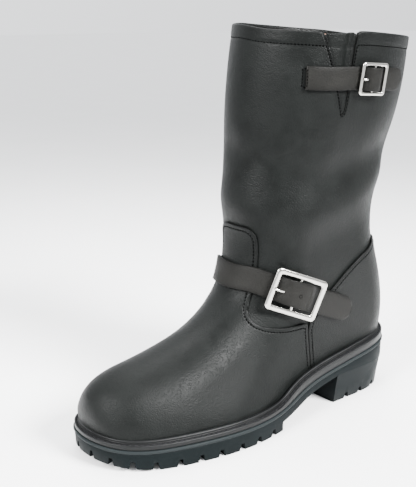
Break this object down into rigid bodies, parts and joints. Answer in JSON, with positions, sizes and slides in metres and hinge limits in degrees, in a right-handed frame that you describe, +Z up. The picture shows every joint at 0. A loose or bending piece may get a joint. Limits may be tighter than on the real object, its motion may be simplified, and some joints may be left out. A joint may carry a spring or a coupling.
{
  "type": "engineer boot",
  "caption": "Left pull-on leather boot with a round toe, buckled instep strap, buckled top strap over a gusset, stitched welt, lugged sole and block heel.",
  "frame": {"origin": "on the floor, in the middle of the heel's ground face", "axes": "+X towards the wearer's left (outer side), -Y towards the toe, +Z up the shaft"},
  "size_m": [0.1277, 0.3071, 0.3078],
  "materials": {
    "leather": "oiled, soft sheen",
    "strap_leather": "matte",
    "buckle_metal": "polished",
    "welt_leather": "satin",
    "sole_rubber": "matte",
    "insole_leather": "matte",
    "thread": "waxed thread",
    "lining": "matte"
  },
  "bodies": {
    "root": {"upper": "leather", "vamp": "leather", "counter": "leather", "gusset": "leather", "backstay": "leather", "instep_strap": "strap_leather", "instep_billet": "strap_leather", "instep_buckle_frame": "buckle_metal", "instep_buckle_prong": "buckle_metal", "top_strap": "strap_leather", "top_billet": "strap_leather", "top_buckle_frame": "buckle_metal", "top_buckle_prong": "buckle_metal", "welt": "welt_leather", "outsole": "sole_rubber", "heel": "sole_rubber", "insole": "insole_leather"}
  },
  "joints": []
}
